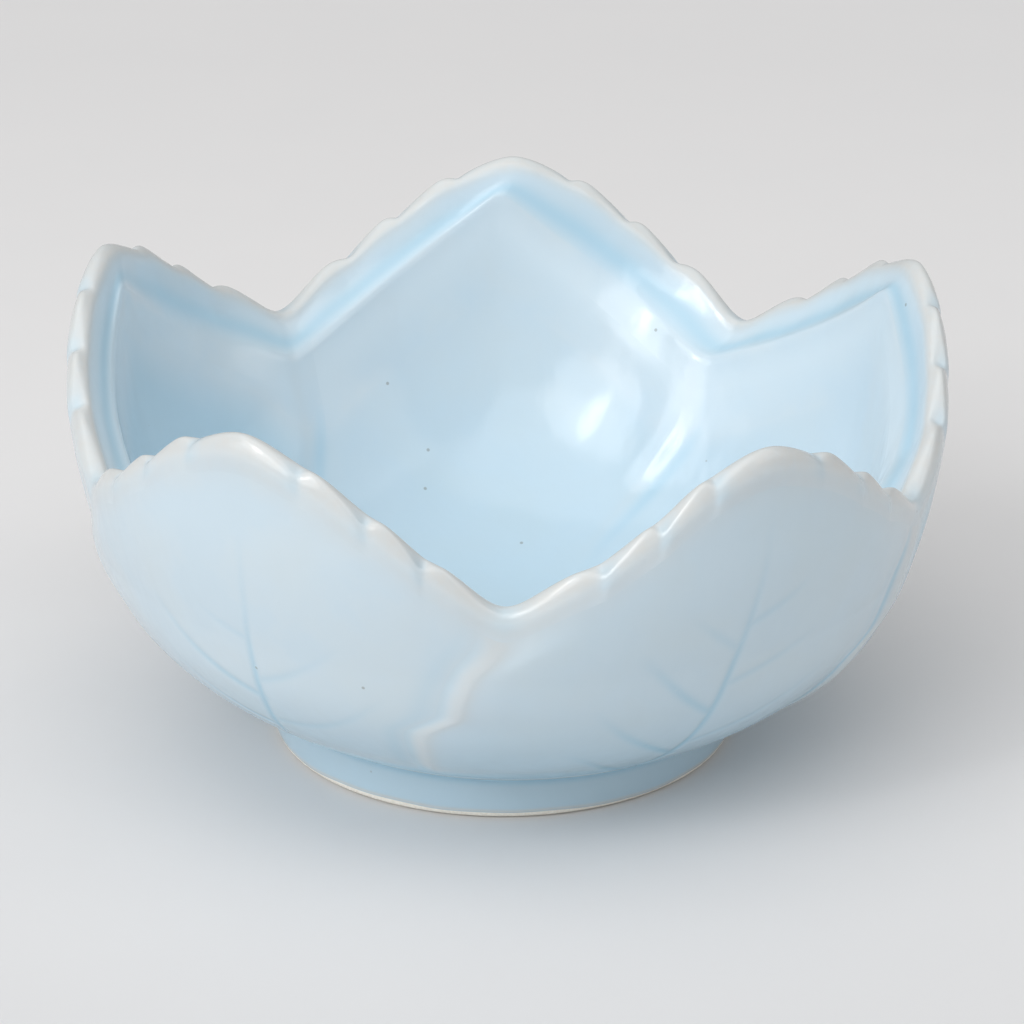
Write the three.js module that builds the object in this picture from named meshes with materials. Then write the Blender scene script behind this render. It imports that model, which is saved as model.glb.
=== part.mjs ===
// A small bowl of pale blue glazed porcelain. Its wall is five pointed, serrated leaves that overlap like
// shingles, standing on a well floor and a low foot ring.
// Millimetres and degrees, +Z up. The bowl stands on z = 0 and the back leaf points along +Y.
import * as THREE from 'three';
import { mergeVertices } from 'three/addons/utils/BufferGeometryUtils.js';

// Leaves, in order round the bowl, counter-clockwise from above, starting at the back
const LEAF_NAMES = ['leaf_back', 'leaf_left', 'leaf_front_left', 'leaf_front_right', 'leaf_right'];
const FIRST_TIP_AZIMUTH = 90;
const LEAF_PITCH = 360 / LEAF_NAMES.length;
const HALF_LEAF = LEAF_PITCH / 2;

// Heights of the whole bowl
const TIP_HEIGHT = 59.0;
const VALLEY_HEIGHT = 40.0;
const WALL_BOTTOM = 6.3;

// Outside of the wall: from the neck over the foot it curves out to the belly, and flares a little above.
// Each leaf bulges between its edges.
const NECK = { radius: 28, height: 5 };
const BELLY = { radius: 54.74, height: 45.04 };
const OUTER_CURVE = { rise: 3.2, reach: 0.909 };
const RIM_FLARE = 1.9;
const FLARE_START = 30;
const LEAF_BULGE = 1.6;
const BULGE_START = 26;
const BULGE_FULL = 46;

// Foot ring
const FOOT_HEIGHT = 6.0;
const FOOT_BOTTOM_RADIUS = 30.3;
const FOOT_TOP_RADIUS = 30.8;
const FOOT_INNER_RADIUS = 26.6;
const FOOT_EDGE_ROUND = 0.5;
const FOOT_SIDES = 64;

// Well floor
const FLOOR_UNDERSIDE = 5.0;
const WELL_BOTTOM = 8.4;
const FLOOR_LOWER_RADIUS = 27.0;
const FLOOR_UPPER_RADIUS = 24.5;
const FLOOR_RINGS = [0.9, 0.78, 0.64, 0.45, 0.25];

// Inside of the wall, and the ridges inside where two leaves lap
const INNER_RADIUS = 53.25;
const INNER_SPAN = 90;
const INNER_CURVE = { rise: 4.77, reach: 0.331 };
const RIDGE_HEIGHT = 4.2;
const RIDGE_START = 12;
const RIDGE_FULL = 31;
const RIDGE_SHARPNESS = 2.6;

// How far each leaf stands proud over its neighbour, and how its edges swing round towards the foot
const STEP_HEIGHT = 1.3;
const STEP_MEAN = 0.3;
const STEP_FADE = 8;
const STEP_LEFT_AT_TIP = 0.4;
const OUTER_SWING = 15;
const OUTER_SWING_RATE = 1.5;
const INNER_SWING = 14;
const INNER_SWING_TOP = 28;
const INNER_SWING_LOW = 12;
const INNER_SWING_RATE = 1.5;

// Serrated leaf edge. Its notches lie at these parts of half a leaf, from tip (0) to valley (1), and at
// these heights, and a lobe bulges up between each two.
const NOTCHES = [[0.22, 56.1], [0.46, 50.9], [0.67, 46.0]];
const TIP_ROUNDNESS = 1.6;
const LOBE_BULGE = 0.8;
const LOBE_SKEW = 1.2;

// Rim: [distance in from the outside, drop below the leaf edge] of its round outer corner, its top face
// and its round inner corner. Inside it a cove runs down to the plain pointed edge of the leaf's facet.
const RIM_SECTION = [[0.35, 0.45], [1.2, 0], [2.4, 0.15], [3.1, 0.75], [3.4, 1.6]];
const COVE_SECTION = [[0.12, 0.72], [0.5, 0.97]];
const FACET_TIP_HEIGHT = 55.5;
const FACET_VALLEY_HEIGHT = 36.0;
const FACET_CURVE = 0.45;

// Leaf sole over the foot ring
const SOLE_INSET = 0.5;
const SOLE_RISE = 0.6;

// The bowl leans a little to one side on its foot, as fired ware does
const LEAN = 1.0;

// Gaps at the joints. A lap joint slants towards the foot, so its gap round the bowl widens there.
const GAP = 0.3;
const LAP_GAP_TOP = 0.18;
const LAP_GAP_FOOT = 0.5;

// Position of the foot's axis, which puts the centre of the bowl's bounding box over the origin
const FOOT_AXIS = { x: -1.02, y: -0.71 };

// Mesh fineness. Rows crowd towards the foot outside and towards the floor inside.
const OUTER_ROWS = 10;
const INNER_ROWS = 12;
const END_ROWS = 2;
const ROW_CROWDING = 1.35;
const HALF_LEAF_COLUMNS = [0.08, 0.15, 0.22, 0.3, 0.38, 0.46, 0.53, 0.6, 0.67, 0.75, 0.83, 0.92, 1];

const GLAZE_BLUE = 0xb9d3e0;
const GLAZE_DEEP = 0xa9cbe0;
const GLAZE_ROUGHNESS = 0.2;

const { degToRad, clamp, lerp, smoothstep } = THREE.MathUtils;

// Outside radius of the wall at a height and at an angle across a leaf
function outerRadius(z, angle) {
  const t = clamp((z - NECK.height) / (BELLY.height - NECK.height), 0, 1);
  const out = Math.pow(1 - Math.pow(1 - t, OUTER_CURVE.rise), OUTER_CURVE.reach);
  const flare = RIM_FLARE * Math.max(0, z - FLARE_START) / (TIP_HEIGHT - FLARE_START);
  const bulge = LEAF_BULGE * (1 - Math.pow(angle / HALF_LEAF, 4)) * smoothstep(z, BULGE_START, BULGE_FULL);
  return lerp(NECK.radius, BELLY.radius, out) + flare + bulge + stepRise(angle, z);
}

// Inside radius of the wall at a height, away from the ridges
function innerRadius(z) {
  const t = clamp((z - WELL_BOTTOM) / INNER_SPAN, 0, 1);
  return INNER_RADIUS * Math.pow(1 - Math.pow(1 - t, INNER_CURVE.rise), INNER_CURVE.reach);
}

// Height at which the inside wall has a radius
function innerHeight(radius) {
  const rest = 1 - Math.pow(radius / INNER_RADIUS, 1 / INNER_CURVE.reach);
  return WELL_BOTTOM + INNER_SPAN * (1 - Math.pow(rest, 1 / INNER_CURVE.rise));
}

// How far a leaf stands out, from its proud edge at -HALF_LEAF to its covered edge at +HALF_LEAF. It fades
// at the foot, and towards the tips, where no leaf covers another.
function stepRise(angle, z) {
  const across = (HALF_LEAF - angle) / LEAF_PITCH;
  const tipFade = 1 - (1 - STEP_LEFT_AT_TIP) * smoothstep(z, VALLEY_HEIGHT, TIP_HEIGHT);
  const fade = smoothstep(z, WALL_BOTTOM, WALL_BOTTOM + STEP_FADE) * tipFade;
  return (STEP_HEIGHT * Math.pow(across, 3) - STEP_MEAN) * fade;
}

// Inward ridge at the leaf's two edges
function ridgeRise(angle, z) {
  const high = smoothstep(z, RIDGE_START, RIDGE_FULL);
  return RIDGE_HEIGHT * high * Math.pow(Math.abs(angle) / HALF_LEAF, RIDGE_SHARPNESS);
}

// Swing of the leaf edges outside, which run backwards round the bowl as they go down
function outerSwing(z) {
  const down = Math.max(0, VALLEY_HEIGHT - z) / (VALLEY_HEIGHT - WALL_BOTTOM);
  return -OUTER_SWING * Math.tanh(OUTER_SWING_RATE * down);
}

// Swing of the leaf edges inside, which run forwards as they go down
function innerSwing(z) {
  const down = clamp((INNER_SWING_TOP - z) / (INNER_SWING_TOP - INNER_SWING_LOW), 0, 1);
  return INNER_SWING * Math.pow(down, INNER_SWING_RATE);
}

// Height of the serrated leaf edge at an angle across the leaf
function edgeHeight(angle) {
  const u = Math.abs(angle) / HALF_LEAF;
  const marks = [...NOTCHES, [1, VALLEY_HEIGHT]];
  const next = marks.findIndex(([mark]) => u <= mark);
  const [to, low] = marks[next];
  if (next === 0) {
    return TIP_HEIGHT - (TIP_HEIGHT - low) * Math.pow(u / to, TIP_ROUNDNESS);
  }
  const [from, high] = marks[next - 1];
  const along = (u - from) / (to - from);
  return lerp(high, low, along) + LOBE_BULGE * Math.sin(Math.PI * Math.pow(along, LOBE_SKEW));
}

// Height of the facet's edge: a plain pointed outline below the serrated rim
function facetHeight(angle) {
  const u = Math.abs(angle) / HALF_LEAF;
  return lerp(FACET_TIP_HEIGHT, FACET_VALLEY_HEIGHT, (1 + FACET_CURVE) * u - FACET_CURVE * u * u);
}

// A point of the leaf's end, which butts on the floor disc, from its lower edge (0) to its upper edge (1)
function jointPoint(part, angle) {
  const top = innerHeight(FLOOR_UPPER_RADIUS);
  const swing = lerp(outerSwing(WALL_BOTTOM), innerSwing(top), part);
  return [lerp(FLOOR_LOWER_RADIUS, FLOOR_UPPER_RADIUS, part), lerp(WALL_BOTTOM, top, part), angle + swing];
}

// The section of a leaf at one angle across it, from its joint with the floor, up the outside, over the
// rim and down the inside. Each point is [radius, height, angle].
function leafSection(angle) {
  const section = [];
  const endPart = (i) => i / (2 * END_ROWS + 1);
  for (let i = END_ROWS; i >= 0; i--) {
    section.push(jointPoint(endPart(i), angle));
  }
  const soleAngle = angle + outerSwing(WALL_BOTTOM);
  section.push([outerRadius(WALL_BOTTOM, angle) - SOLE_INSET, WALL_BOTTOM, soleAngle]);

  const top = edgeHeight(angle);
  const [rimWidth, rimDrop] = RIM_SECTION.at(-1);
  for (let i = 0; i <= OUTER_ROWS; i++) {
    const part = Math.pow(i / OUTER_ROWS, ROW_CROWDING);
    const z = lerp(WALL_BOTTOM + SOLE_RISE, top - rimDrop, part);
    const straighten = 1 - smoothstep(part, 0.8, 1);
    section.push([outerRadius(z, angle), z, angle + outerSwing(z) * straighten]);
  }

  const edge = outerRadius(top, angle);
  for (const [inward, drop] of RIM_SECTION) {
    section.push([edge - inward, top - drop, angle]);
  }
  const facetTop = facetHeight(angle);
  const facetRadius = innerRadius(facetTop) - ridgeRise(angle, facetTop);
  for (const [inward, down] of COVE_SECTION) {
    section.push([lerp(edge - rimWidth, facetRadius, inward), lerp(top - rimDrop, facetTop, down), angle]);
  }

  const floorTop = innerHeight(FLOOR_UPPER_RADIUS);
  for (let i = 0; i <= INNER_ROWS; i++) {
    const z = lerp(facetTop, floorTop, 1 - Math.pow(1 - i / INNER_ROWS, ROW_CROWDING));
    section.push([innerRadius(z) - ridgeRise(angle, z), z, angle + innerSwing(z) * Math.min(1, i / 3)]);
  }
  for (let i = 2 * END_ROWS; i > END_ROWS; i--) {
    section.push(jointPoint(endPart(i), angle));
  }
  return section;
}

// Lean the bowl by the same small turn at every height above the foot's edge, and set it on its axis
function leanPoint(x, y, z) {
  const turn = Math.sin(degToRad(LEAN)) * smoothstep(z, 0, FOOT_HEIGHT);
  return [x + FOOT_AXIS.x + z * turn, y + FOOT_AXIS.y, z - x * turn];
}

function lapGap(z) {
  return lerp(LAP_GAP_TOP, LAP_GAP_FOOT, clamp((VALLEY_HEIGHT - z) / (VALLEY_HEIGHT - WALL_BOTTOM), 0, 1));
}

function solid(positions, index) {
  const geometry = new THREE.BufferGeometry();
  geometry.setAttribute('position', new THREE.Float32BufferAttribute(positions.flat(), 3));
  geometry.setIndex(index);
  return mergeVertices(geometry, 1e-4);
}

// A leaf: its section swept from its proud edge to its covered edge, closed by the two lap faces
function leafGeometry(tipAzimuth) {
  const parts = [...HALF_LEAF_COLUMNS.map((u) => -u).reverse(), 0, ...HALF_LEAF_COLUMNS];
  const last = parts.length - 1;
  const positions = [];
  parts.forEach((part, column) => {
    const inward = (column === 0) - (column === last);
    for (const [radius, z, angle] of leafSection(part * HALF_LEAF)) {
      const azimuth = degToRad(tipAzimuth + angle) + inward * lapGap(z) / radius;
      positions.push(leanPoint(radius * Math.cos(azimuth), radius * Math.sin(azimuth), z));
    }
  });

  const rows = positions.length / parts.length;
  const at = (column, row) => column * rows + (row % rows);
  const triangles = [];
  for (let column = 0; column < last; column++) {
    for (let row = 0; row < rows; row++) {
      triangles.push([at(column, row), at(column + 1, row), at(column + 1, row + 1)]);
      triangles.push([at(column, row), at(column + 1, row + 1), at(column, row + 1)]);
    }
  }
  for (let low = 0, high = rows - 1; low + 1 < high; low++, high--) {
    triangles.push([at(0, low), at(0, low + 1), at(0, high)]);
    triangles.push([at(last, low), at(last, high), at(last, low + 1)]);
    if (low + 1 < high - 1) {
      triangles.push([at(0, low + 1), at(0, high - 1), at(0, high)]);
      triangles.push([at(last, low + 1), at(last, high), at(last, high - 1)]);
    }
  }
  return solid(positions, triangles.flat());
}

// A turned piece: its closed profile of [radius, height] points, leaned like the rest
function turned(profile) {
  const lathe = new THREE.LatheGeometry(profile.map(([r, z]) => new THREE.Vector2(r, z)), FOOT_SIDES);
  const source = lathe.getAttribute('position');
  const positions = [];
  for (let i = 0; i < source.count; i++) {
    positions.push(leanPoint(source.getX(i), -source.getZ(i), source.getY(i)));
  }
  return solid(positions, Array.from(lathe.getIndex().array));
}

function footRing() {
  return turned([
    [FOOT_INNER_RADIUS + FOOT_EDGE_ROUND, 0],
    [FOOT_BOTTOM_RADIUS - FOOT_EDGE_ROUND, 0],
    [FOOT_BOTTOM_RADIUS, FOOT_EDGE_ROUND],
    [FOOT_TOP_RADIUS, FOOT_HEIGHT - 2 * FOOT_EDGE_ROUND],
    [FOOT_TOP_RADIUS, FOOT_HEIGHT],
    [FOOT_INNER_RADIUS, FOOT_HEIGHT],
    [FOOT_INNER_RADIUS, FOOT_EDGE_ROUND],
    [FOOT_INNER_RADIUS + FOOT_EDGE_ROUND, 0],
  ]);
}

// The floor disc sits inside the top of the ring, and the leaves butt on its slanted edge
function bowlFloor() {
  const neck = FOOT_INNER_RADIUS - GAP;
  return turned([
    [0, FLOOR_UNDERSIDE],
    [neck, FLOOR_UNDERSIDE],
    [neck, FOOT_HEIGHT],
    [FLOOR_LOWER_RADIUS - 2 * GAP, WALL_BOTTOM],
    [FLOOR_UPPER_RADIUS - 2 * GAP, innerHeight(FLOOR_UPPER_RADIUS)],
    ...FLOOR_RINGS.map((part) => [FLOOR_UPPER_RADIUS * part, innerHeight(FLOOR_UPPER_RADIUS * part)]),
    [0, WELL_BOTTOM],
  ]);
}

const bowl = new THREE.Group();

function addPiece(name, geometry, color) {
  const material = new THREE.MeshStandardMaterial({ name, color, roughness: GLAZE_ROUGHNESS, metalness: 0 });
  const mesh = new THREE.Mesh(geometry, material);
  mesh.name = name;
  bowl.add(mesh);
}

LEAF_NAMES.forEach((name, i) => addPiece(name, leafGeometry(FIRST_TIP_AZIMUTH + i * LEAF_PITCH), GLAZE_BLUE));
addPiece('bowl_floor', bowlFloor(), GLAZE_DEEP);
addPiece('foot_ring', footRing(), GLAZE_DEEP);

export default bowl;
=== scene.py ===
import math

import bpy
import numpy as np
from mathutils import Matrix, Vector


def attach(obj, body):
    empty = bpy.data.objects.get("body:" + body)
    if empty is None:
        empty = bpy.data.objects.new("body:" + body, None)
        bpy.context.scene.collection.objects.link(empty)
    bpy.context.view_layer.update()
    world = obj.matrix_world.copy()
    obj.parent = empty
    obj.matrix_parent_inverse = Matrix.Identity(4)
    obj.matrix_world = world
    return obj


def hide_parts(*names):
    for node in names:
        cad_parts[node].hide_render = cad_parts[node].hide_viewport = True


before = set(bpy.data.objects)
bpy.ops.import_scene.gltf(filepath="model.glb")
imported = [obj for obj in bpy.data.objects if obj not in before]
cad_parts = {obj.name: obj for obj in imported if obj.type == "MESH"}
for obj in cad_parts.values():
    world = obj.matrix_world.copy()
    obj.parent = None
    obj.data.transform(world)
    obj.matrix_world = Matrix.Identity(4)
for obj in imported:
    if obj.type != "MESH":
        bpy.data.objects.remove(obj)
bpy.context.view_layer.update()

# The finished look of a small leaf bowl in pale blue celadon. The glazed wall is one smooth surface of
# angle and height. It is cut into the bowl's separate leaves, its well floor and its foot ring, each a
# closed piece. Shapes are worked out in millimetres and degrees, and become metres where a mesh is made.

MM = 0.001

# Leaves and the azimuths of their tips, counter-clockwise from above
LEAVES = {
    "leaf_back": 90,
    "leaf_left": 162,
    "leaf_front_left": 234,
    "leaf_front_right": 306,
    "leaf_right": 18,
}
LEAF_PITCH = 72
HALF_LEAF = LEAF_PITCH / 2

# The outside of the wall
TIP_HEIGHT = 59.0
VALLEY_HEIGHT = 40.0
WALL_BOTTOM = 6.3
NECK_RADIUS, NECK_HEIGHT = 28.0, 5.0
BELLY_RADIUS, BELLY_HEIGHT = 54.74, 45.04
OUTER_RISE, OUTER_REACH = 3.2, 0.909
RIM_FLARE, FLARE_START = 1.70, 30
LEAF_BULGE, BULGE_START, BULGE_FULL, BULGE_POWER = 1.6, 26, 46, 4

# The inside of the wall, and how much it thickens: (degrees from the proud edge, millimetres)
WELL_BOTTOM = 8.4
INNER_RADIUS, INNER_SPAN = 53.25, 90
INNER_RISE, INNER_REACH = 4.77, 0.331
RELIEF_START, RELIEF_FULL = 9, 26
RELIEF = [
    (-36, 0), (-20, 0.9), (-8.5, 1.95), (-1.4, 2.3), (2.5, 2.75), (5.2, 2.67),
    (10, 1.95), (16, 1.15), (24, 0.5), (36, 0),
]

# The step where a leaf stands proud over its neighbour, outside and inside, and its way to the foot
STEP_HEIGHT, STEP_MEAN, STEP_FADE, STEP_LEFT_AT_TIP = 0.85, 0.15, 8, 0.4
STEP_WIDTH = 3.7
STEP_RIM_FADE, STEP_LEFT_AT_RIM = 12, 0.12
INNER_SHIFT = 2.2
OUTER_SWING, OUTER_SWING_RATE = 15, 1.5
INNER_SWING, INNER_SWING_TOP, INNER_SWING_LOW, INNER_SWING_RATE = 14, 28, 12, 1.5

# The two scallops of the proud edge outside: (height, degrees to the side), and the notch between them
SCALLOPS = [
    (6.3, 0), (9, 1.6), (13, 1.5), (18, 0.5), (20.6, -0.1), (21.6, 0.3),
    (23.9, 3.5), (25.0, 3.6), (28, 2.8), (34, 1.9), (40, 0),
]
SCALLOP_REACH = 9
SCALLOP_NOTCH, SCALLOP_NOTCH_DEPTH, SCALLOP_NOTCH_WIDTH = 22.6, 0.4, 2.4

# The serrated edge: its notches lie at these parts of half a leaf and at these heights
NOTCHES = [(0.22, 55.8), (0.46, 50.6), (0.67, 45.7)]
EDGE_VALLEY = 38.9
TIP_ROUNDNESS = 1.6
LOBE_BULGE, LAST_LOBE_BULGE, LOBE_CREST, LOBE_FALL = 1.5, 1.65, 0.33, 1.4
LOBE_DEPTH_OUT, LOBE_FADE, LOBE_SET_BACK = 0.35, 3.5, 1.5
GROOVE_DEPTH, GROOVE_WIDTH = 0.14, 0.8
VALLEY_STARTS, VALLEY_FULL = 0.84, 0.96
BRIM_OVER_EDGE = 0.4

# The rim's section from outside to inside, (millimetres inward, millimetres down), and the cove below it:
# (part of the way inward, part of the way down, place along the section)
RIM_WIDTH = 3.4
RIM_START = 4.4
RIM_SECTION = [
    (0.03, 2.4), (0.2, 1.35), (0.56, 0.56), (1.05, 0.14),
    (1.7, 0), (2.35, 0.12), (2.95, 0.6), (RIM_WIDTH, 1.5),
]
COVE_UPPER, COVE_LOWER = (0.3, 0.44, 4.5), (0.66, 0.8, 5.6)
COVE_HOLLOW = 0.05

# Stretches over the rim, in millimetres inward: from the brim's height to the edge's and on to the inner
# edge's, the end of the lobes' set-back, and both ends of a groove
BRIM_TO_EDGE, EDGE_TO_INNER, SET_BACK_END = (0, 1.2), (1.2, 2.6), (0.4, 2.4)
GROOVE_BEGIN, GROOVE_END = (0, 0.8), (2, 3.2)

# The sunk facet: its upper edge, and how far that rolls outwards: (degrees from the proud edge, millimetres)
FACET_TIP_HEIGHT, FACET_VALLEY_HEIGHT, FACET_CURVE = 55.0, 35.9, 0.45
FACET_ROUNDING = 4.4
ROLL = [
    (-36, 0.15), (-8, 0.15), (2, 0.3), (7, 0.95), (11, 1.4), (17, 1.4), (23, 1.05), (30, 0.5), (36, 0.15),
]
ROLL_LEAST, ROLL_MOST = 0.15, 1.4
ROLL_REACH = 7.0

# Degrees over which each outline is softened, as clay and glaze round it
NOTCH_SPREAD, VALLEY_SPREAD, INNER_EDGE_SPREAD, PLAIN_SPREAD = 0.4, 1.9, 2.2, 3.0
SET_BACK_SPREAD, GROOVE_SPREAD, FACET_SPREAD, BRIM_SPREAD = 0.5, 0.1, 1.2, 0.9
RELIEF_SPREAD, ROLL_SPREAD, BULGE_SPREAD = 0.7, 1.5, 2.0

# Veins outside, as (degrees from the tip, height) along each line. The midrib comes first in each drawing,
# and the side veins start at the midrib.
DRAWING_A = [
    [
        (-2.1, 52), (-2.6, 44), (-3.5, 38.5), (-4.3, 32.4), (-5.1, 27.5),
        (-5.9, 22), (-6.3, 17.4), (-7.5, 12), (-10, 8),
    ],
    [(-4.3, 31.8), (-8.5, 35), (-12.5, 38.2)],
    [(-5.9, 22), (-10.6, 25.3), (-15, 29.5), (-19, 34)],
    [(-6.4, 13.2), (-11, 15.5), (-18.4, 19.9), (-24, 25.5)],
    [(-9, 8.6), (-16.1, 10.4), (-27, 17.6)],
    [(-3.7, 35.5), (1.0, 37.4), (5.3, 40)],
    [(-5.2, 26.5), (2, 28.5), (9.6, 31.4)],
    [(-6.4, 16), (4, 18.5), (15, 24)],
]
DRAWING_B = [
    [(1.8, 50), (1.6, 37.4), (0.6, 30.8), (0.2, 24.2), (-0.8, 18.7), (-3.2, 14), (-6.5, 10)],
    [(0.6, 31), (-4, 32.3), (-8.9, 34.9)],
    [(0, 21.6), (-6.2, 23.5), (-12.9, 27.2), (-17.5, 33)],
    [(-2.4, 15), (-10, 16.6), (-19, 22)],
    [(0.3, 24.6), (4, 25.8), (8.9, 28.5), (16, 34)],
    [(-1.2, 17), (7, 18), (14.3, 21.3), (21, 27)],
]
DRAWINGS = {
    "leaf_back": DRAWING_A,
    "leaf_left": DRAWING_B,
    "leaf_front_left": DRAWING_B,
    "leaf_front_right": DRAWING_A,
    "leaf_right": DRAWING_B,
}
MIDRIB_DEPTH, MIDRIB_WIDTH = 0.17, 0.5
VEIN_DEPTH, VEIN_WIDTH = 0.13, 0.62
FIRST_VEIN_STRENGTH, RIGHT_VEIN_STRENGTH = 0.45, 0.5

# The foot ring and the well floor
FOOT_INNER_RADIUS, FOOT_TOP_RADIUS = 26.6, 30.8
FOOT_HEIGHT = 6.0
SOLE_HEIGHT = 6.25
SOLE_OVERHANG, LIP_HEIGHT, LIP_TURN_HEIGHT, LIP_TURN_OUT, LIP_TURN_RISE = 0.3, 0.9, 6.55, 0.12, 0.02
FLOOR_UNDERSIDE = 5.0
FLOOR_UPPER_RADIUS, FLOOR_LOWER_RADIUS = 24.5, 27.0
FLOOR_INSET = 0.12
FLOOR_RINGS = [0.96, 0.9, 0.82, 0.72, 0.62, 0.52, 0.42, 0.32, 0.22, 0.12, 0.05]
UNDERSIDE_RADII = [26.2, 24, 20, 15, 10, 5, 1]

# The foot ring's section, (radius, height): its outer corner, the end of the glaze as heights above the
# wavy glaze line, the outside with its fillet, and the inside. Waves: (millimetres, number, phase).
FOOT_CORNER = [(28.4, 0), (29.2, 0), (29.8, 0.14), (30.14, 0.45)]
GLAZE_END = [(30.22, -0.06), (30.34, 0.08), (30.38, 0.3)]
FOOT_OUTSIDE = [(30.5, 2.0), (30.6, 3.0), (30.7, 4.0), (30.8, 5.0), (30.88, 5.6), (31.05, 6.0), (31.1, 6.2)]
FOOT_INSIDE = [
    (27.6, 6.2), (26.75, 6.15), (26.6, 5.6), (26.6, 4.0), (26.6, 2.5),
    (26.62, 1.2), (26.7, 0.45), (26.95, 0.1), (27.3, 0),
]
BARE_HEIGHT = 0.88
BARE_WAVES = [(0.1, 3, 1), (0.07, 8, 0), (0.04, 19, 2)]

# The bowl leans on its foot, and the foot's axis stands a little off the origin
LEAN = 1.0
FOOT_AXIS = (-1.02, -0.71)

# Hand-made unevenness: the tips of the two near leaves lie a little nearer to each other, and the right
# side is a little flatter. Each turn has the azimuths where it starts, is full, goes back and ends, its
# degrees, and the millimetres by which the edge stands higher there. The turns and the flattening each
# come in between two heights.
TURNS = [(199, 216, 252, 270, 2.0, 0.32), (284, 304, 330, 350, -2.8, 0)]
TURN_LOW, TURN_HIGH = 28, 46
FLAT_REACH, FLAT_PART, FLAT_LOW, FLAT_HIGH = 60, 0.013, 16, 40

# Tones of the glaze: how strongly it pools or pales in a place, on all leaves or on single ones. Some of
# these are painted shade, in part or in whole, and one is painted light.
PALE_FAR, PALE_BAND, PALE_LINE = 0.05, 0.35, 0.46
# The sole's tone, which fades along the lip into the lip's, is pooled glaze and painted shade under the lip
VEIN_POOL, FOOT_POOL, WELL_POOL, SOLE_POOL_AND_SHADE, LIP_POOL = 0.6, 0.5, 0.3, 0.9, 0.1
CREASE_POOL, CREASE_THIN, COVE_POOL = 0.3, 0.12, 0.15
NOTCH_POOL, NOTCH_LESS_THIN = 0.35, 0.4
FLOOR_TOP_POOL, FLOOR_LOW_POOL = 0.3, 0.2
# The foot's top under the leaves' lip is darker: pooled glaze and painted shade
RING_POOL, FILLET_POOL_AND_SHADE, GLAZE_END_THIN = 0.33, 0.45, 0.7
# Painted shade: the left leaf's inside, which faces away from the key lamp, is made a deeper blue
INSIDE_PAINTED_SHADE = {"leaf_left": 0.4}
# Painted light: a lighter tone on the inside wall just below the facet's edge, less on the left leaf, which
# lies in shade
INSIDE_PAINTED_LIGHT = {"leaf_left": 0.6}
OUTSIDE_POOL = {"leaf_front_right": 0.1}
BAND_POOL = {"leaf_right": 0.55}
# At the foot of a proud edge's step: a dark line that is painted shadow as well as pooled glaze
FURROW_POOL_AND_SHADE = {"leaf_right": 0.8, "leaf_front_right": 0.2}

# Stripes of the tones: (middle, width) or (strength, middle, width), in degrees from the proud edge, places
# along the rim's section, millimetres below the facet's edge or parts of the lip
BAND, FURROW, CREASE_FURROW, CREASE_EDGE, RIM_TOP = (6, 2.6), (-2.9, 0.7), (-2.4, 1.5), (1, 1.5), (1.0, 1.3)
NEIGHBOUR_STRIPE, PROUD_EDGE_THIN = (0.16, -5.4, 1.3), (0.5, -0.9, 1.9)
RIM_THIN = [(0.1, -0.4, 0.9), (0.1, 2.9, 0.5), (0.06, 7.0, 0.5)]
COVE_STRIPE = (0.42, 5.1, 0.8)
FACET_EDGE_THIN, LIP_THIN = (0.2, 0, 1.8), (0.5, 0.55, 0.25)

# Where tones come in or run out: two heights, depths below the edge, degrees from a seam, or places along
# the rim's section
FOOT_HEIGHTS, FURROW_HEIGHTS, PALE_HEIGHTS = (7, 28), (31, 42), (14, 42)
WELL_HEIGHTS, LEFT_HEIGHTS, FILLET_HEIGHTS = (9, 40), (12, 24), (4.6, 6.0)
BAND_DEPTHS, LINE_DEPTHS, STEP_DEPTHS, PAINTED_LIGHT_DEPTHS = (1, 8), (0.3, 2.8), (1, 6), (2, 14)
OUTSIDE_FADE, INSIDE_FADE, VEIN_FADE = (0, 12), (0, 14), (0.5, 5)
PALE_PLACES, COVE_PLACES, WALL_PLACES = (2.5, 4.0), (4.0, 5.5), (6.2, 7.8)

# Marks of the glaze: noise scales, specks as parts of their cells, roughness, and bumps (strength, metres)
CLOUD_SCALE, MOTTLE_SCALE, GRAIN_SCALE, GLOSS_SCALE, SPECK_SCALE = 95, 900, 2600, 160, 160
WAVE_SCALE, SLOW_WAVE_SCALE, WAVE_STRETCH = 210, 90, (1, 1, 0.35)
SPECK_INNER, SPECK_OUTER, SPECK_STRENGTH = 0.03, 0.045, 0.55
GLOSSY, LESS_GLOSSY, BARE_ROUGHNESS, GLAZE_IOR = 0.13, 0.18, 0.55, 1.5
SWELL, SKIN, TOOTH = (0.35, 0.0003), (0.12, 0.00006), (0.5, 0.0001)

# Rows and columns of the meshes, and the middle line that closes the side of a leaf
LEAF_COLUMNS = 200
OUTER_ROWS, OUTER_CROWDING = 96, 1.3
INNER_ROWS, INNER_CROWDING = 42, 1.35
JOINT_ROWS = 5
FOOT_COLUMNS = 300
ROUNDINGS = 2
STEP_DENSITY, NOTCH_DENSITY, NOTCH_SHIFT, NOTCH_REACH = 1.6, 1.8, 0.3, 1.3
CAP_POINTS = 14
CAP_INSET = 0.35

# The camera's target is in millimetres, in the frame of the bowl
CAMERA_LENS = 167.24
CAMERA_DISTANCE = 620.8
CAMERA_ELEVATION = 23.345
CAMERA_AZIMUTH = 0.383
CAMERA_TARGET = (0.118, -0.70, 29.47)
SENSOR = 36

# The studio, in metres: the lamps' target, the world's light, the floor and where its painted light changes
LAMP_TARGET = np.array([0, 0, 0.03])
WORLD_LIGHT = 0.375
STUDIO_SIZE, STUDIO_LEVEL = 6.0, -0.00005
FALLOFF_NEAR, FALLOFF_MIDDLE, FALLOFF_FAR = -0.13, 0.03, 0.28


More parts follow.
